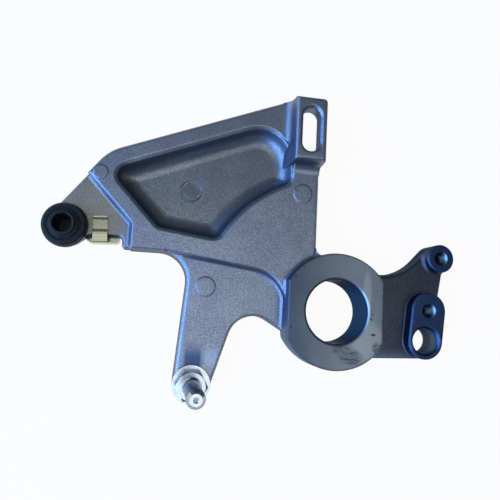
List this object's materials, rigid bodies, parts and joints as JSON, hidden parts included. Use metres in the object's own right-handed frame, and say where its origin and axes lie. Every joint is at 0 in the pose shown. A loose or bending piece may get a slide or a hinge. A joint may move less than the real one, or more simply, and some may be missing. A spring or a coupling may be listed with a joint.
{
  "type": "brake caliper bracket",
  "caption": "Die-cast aluminium rear brake caliper bracket of a motorcycle, with a slotted stop lug, slide pin, rubber pin boot and pad retainer.",
  "frame": {"origin": "on the axis of the axle bore, in the plane of the casting's flat back", "axes": "+X towards the wheel speed sensor's arm, +Y towards the slotted stop lug, +Z out of the front face, the way the slide pin stands"},
  "size_m": [0.1857, 0.1366, 0.046],
  "materials": {
    "cast_aluminium": "as cast, fine grain, with a smooth turned boss face",
    "plated_steel": "bright zinc plating",
    "black_rubber": "smooth moulded",
    "spring_steel": "bright rolled sheet with a faint straw tint"
  },
  "bodies": {
    "root": {"bracket": "cast_aluminium", "slide_pin": "plated_steel", "pin_boot": "black_rubber", "pad_retainer": "spring_steel"}
  },
  "joints": []
}
